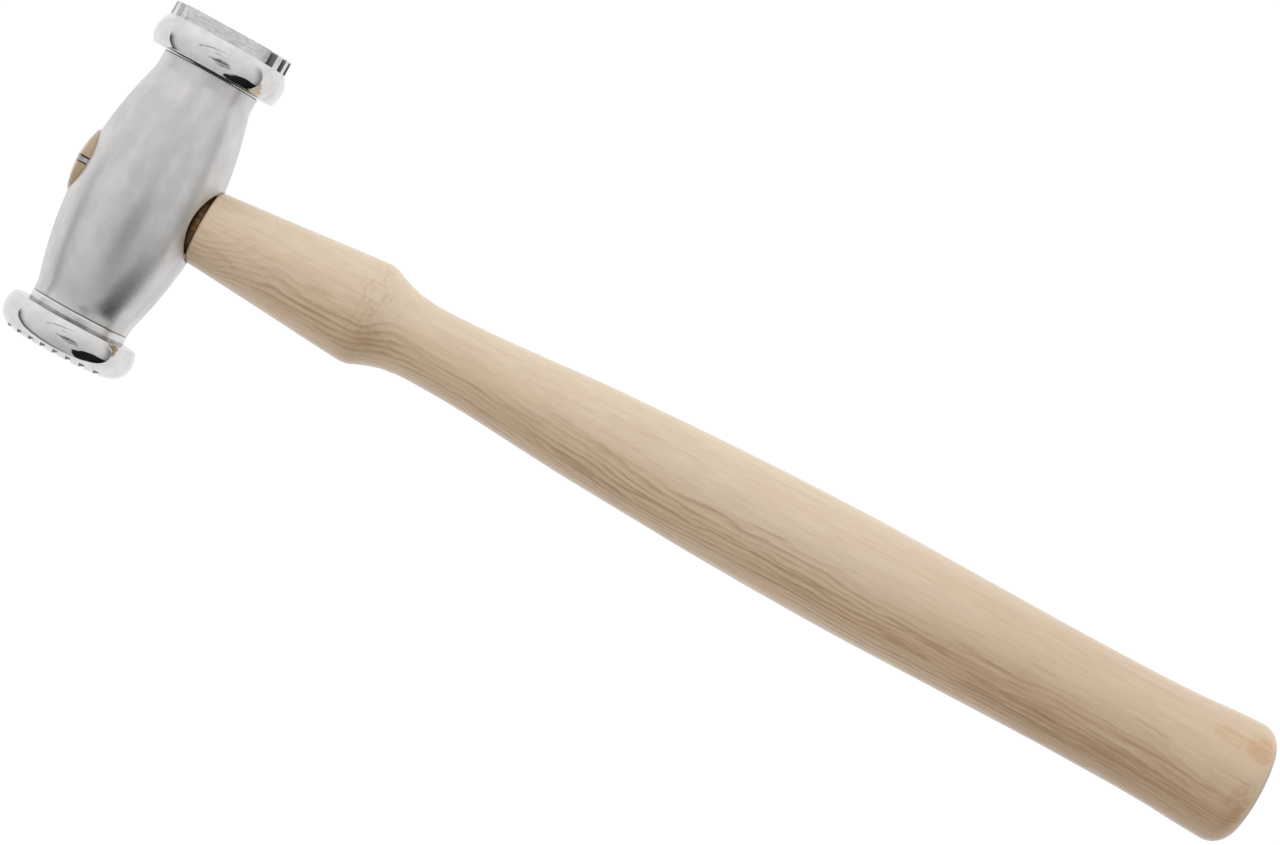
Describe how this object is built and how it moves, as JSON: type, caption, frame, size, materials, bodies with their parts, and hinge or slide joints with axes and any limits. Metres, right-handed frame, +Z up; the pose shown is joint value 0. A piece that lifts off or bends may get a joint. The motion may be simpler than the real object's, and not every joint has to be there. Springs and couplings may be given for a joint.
{
  "type": "texturing hammer",
  "caption": "Double-faced jeweller's texturing hammer: turned barrel head with polished, grooved round striking faces on a turned wooden handle held by a steel eye wedge.",
  "frame": {"origin": "centre of the bounding box's bottom face: the hammer lies on its side on z = 0, resting on both rims and the butt", "axes": "+X along the handle from the eye to the butt, +Y along the head towards the deeply grooved face, +Z up out of the surface it lies on"},
  "size_m": [0.2456, 0.067, 0.0261],
  "materials": {
    "satin_steel": "fine satin",
    "polished_steel_grooved": "mirror polished",
    "polished_steel_ribbed": "mirror polished",
    "pale_hardwood": "smooth, thinly sealed",
    "wedge_steel": "plain mild steel"
  },
  "bodies": {
    "root": {"head_body": "satin_steel", "grooved_face": "polished_steel_grooved", "ribbed_face": "polished_steel_ribbed", "handle": "pale_hardwood", "eye_wedge": "wedge_steel"}
  },
  "joints": []
}
